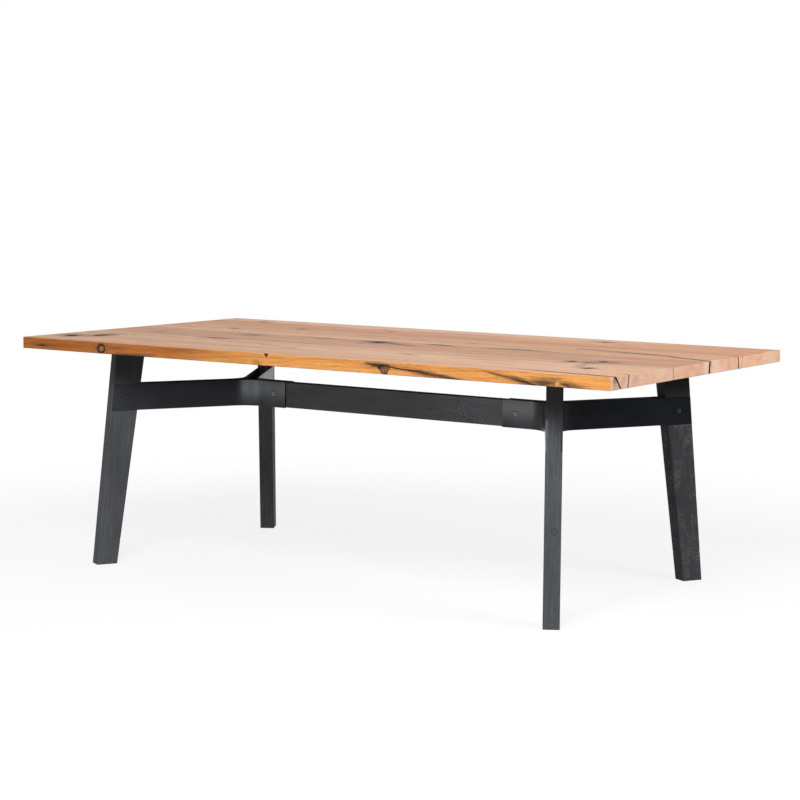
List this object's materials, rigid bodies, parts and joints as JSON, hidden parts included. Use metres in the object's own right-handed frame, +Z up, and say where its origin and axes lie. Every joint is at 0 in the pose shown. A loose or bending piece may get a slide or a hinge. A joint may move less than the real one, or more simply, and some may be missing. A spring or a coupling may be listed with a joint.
{
  "type": "dining table",
  "caption": "Long plank-top dining table on splayed tapered legs, clamped by bent flat bars that meet in a Y at each end and tied by a centre stretcher.",
  "frame": {"origin": "on the floor under the middle of the table top", "axes": "+X along the length of the top, +Y from the pictured long side to the far one, +Z up"},
  "size_m": [2.22, 1.16, 0.76],
  "materials": {
    "oak": "matt oiled, old planks with knots and cracks",
    "black_oak": "black stained, matt, open grain",
    "black_steel": "satin black powder coat",
    "black_fastener": "blackened steel, satin",
    "plain_steel": "mill finish flat bar",
    "screw_steel": "zinc plated"
  },
  "bodies": {
    "root": {"top_board_front": "oak", "top_board_mid_front": "oak", "top_board_mid_back": "oak", "top_board_back": "oak", "leg_front_left": "black_oak", "leg_front_right": "black_oak", "leg_back_left": "black_oak", "leg_back_right": "black_oak", "stretcher": "black_oak", "outer_bar_front_left": "black_steel", "outer_bar_front_right": "black_steel", "outer_bar_back_left": "black_steel", "outer_bar_back_right": "black_steel", "fork_bar_left": "black_steel", "fork_bar_right": "black_steel", "clamp_bolts": "black_fastener", "clamp_sleeve_nuts": "black_fastener", "top_batten_left": "plain_steel", "top_batten_centre": "plain_steel", "top_batten_right": "plain_steel", "leg_plate_front_left": "plain_steel", "leg_plate_front_right": "plain_steel", "leg_plate_back_left": "plain_steel", "leg_plate_back_right": "plain_steel", "batten_screws": "screw_steel", "plate_to_top_screws": "screw_steel", "plate_to_leg_screws": "screw_steel"}
  },
  "joints": []
}
